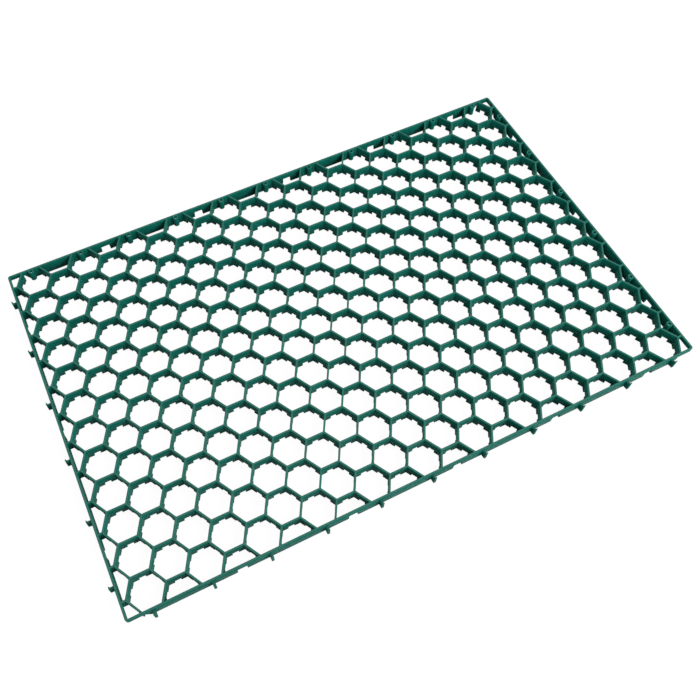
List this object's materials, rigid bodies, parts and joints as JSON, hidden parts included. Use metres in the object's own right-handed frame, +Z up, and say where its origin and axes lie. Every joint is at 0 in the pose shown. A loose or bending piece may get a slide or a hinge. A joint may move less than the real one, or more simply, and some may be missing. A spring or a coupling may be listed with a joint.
{
  "type": "grass paver grid",
  "caption": "Flat green plastic ground grid: an open honeycomb in a thin rectangular frame, with pegs on two sides and sockets on the other two for joining sheets.",
  "frame": {"origin": "on the floor under the middle of the sheet's outline, pegs included", "axes": "+X along the length towards the socketed short side, +Y towards the socketed long side, +Z up"},
  "size_m": [1.1834, 0.7604, 0.03],
  "materials": {
    "moulded_plastic": "satin, as moulded"
  },
  "bodies": {
    "root": {"paver_grid": "moulded_plastic"}
  },
  "joints": []
}
